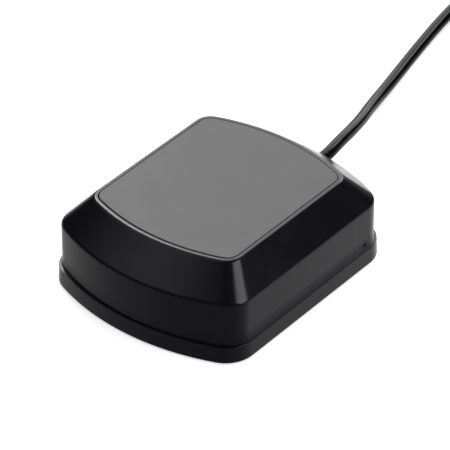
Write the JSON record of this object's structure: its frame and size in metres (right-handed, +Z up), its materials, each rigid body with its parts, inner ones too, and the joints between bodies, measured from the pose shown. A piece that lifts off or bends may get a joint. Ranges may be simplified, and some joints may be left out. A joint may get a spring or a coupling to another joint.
{
  "type": "gnss receiver",
  "caption": "Low black puck receiver with a bowed, bevelled case, a grey top panel, a magnetic base and a captive USB lead coiled and tied.",
  "frame": {"origin": "middle of the case on the surface it stands on, under the rubber pad", "axes": "+Z up through the top panel, +Y towards the end that the lead leaves from, +X to the right when seen from -Y"},
  "size_m": [0.0659, 0.1831, 0.02],
  "materials": {
    "shell_black": "satin",
    "panel_grey": "satin",
    "adhesive": "matte",
    "rubber_black": "matte",
    "seal_rubber": "matte",
    "screw_steel": "satin",
    "magnet_nickel": "polished",
    "board_green": "gloss",
    "antenna_ceramic": "matte",
    "silver_plate": "satin",
    "tinned_steel": "satin",
    "chip_black": "matte",
    "chip_ceramic": "matte",
    "solder_gold": "polished",
    "nylon_ivory": "matte",
    "insulator_white": "satin",
    "wire_red": "satin",
    "wire_black": "satin",
    "wire_green": "satin",
    "wire_white": "satin",
    "lead_pvc": "satin",
    "tie_plastic": "satin",
    "plug_steel": "satin"
  },
  "bodies": {
    "root": {"upper_shell": "shell_black", "top_panel": "panel_grey", "panel_adhesive": "adhesive", "bottom_cover": "shell_black", "seal_gasket": "seal_rubber", "cover_screws": "screw_steel", "foot_pad": "rubber_black", "base_magnets": "magnet_nickel", "main_pcb": "board_green", "pcb_screws": "screw_steel", "antenna_tape": "adhesive", "antenna_ceramic": "antenna_ceramic", "antenna_electrode": "silver_plate", "antenna_feed_pin": "solder_gold", "rf_shield_can": "tinned_steel", "gnss_chip": "chip_black", "saw_filter": "chip_ceramic", "low_noise_amplifier": "chip_black", "reference_oscillator": "chip_ceramic", "usb_bridge_chip": "chip_black", "voltage_regulator": "chip_black", "backup_cell": "tinned_steel", "chip_passives": "chip_ceramic", "cable_header": "nylon_ivory", "header_plug": "nylon_ivory", "wire_power": "wire_red", "wire_ground": "wire_black", "wire_data_plus": "wire_green", "wire_data_minus": "wire_white", "cable_inner": "lead_pvc", "cable_strain_relief": "lead_pvc", "cable_lead": "lead_pvc", "cable_coil": "lead_pvc", "cable_tail": "lead_pvc", "coil_tie": "tie_plastic", "usb_plug_cover": "lead_pvc", "usb_plug_shell": "plug_steel", "usb_plug_insulator": "insulator_white", "usb_plug_contacts": "solder_gold"}
  },
  "joints": []
}
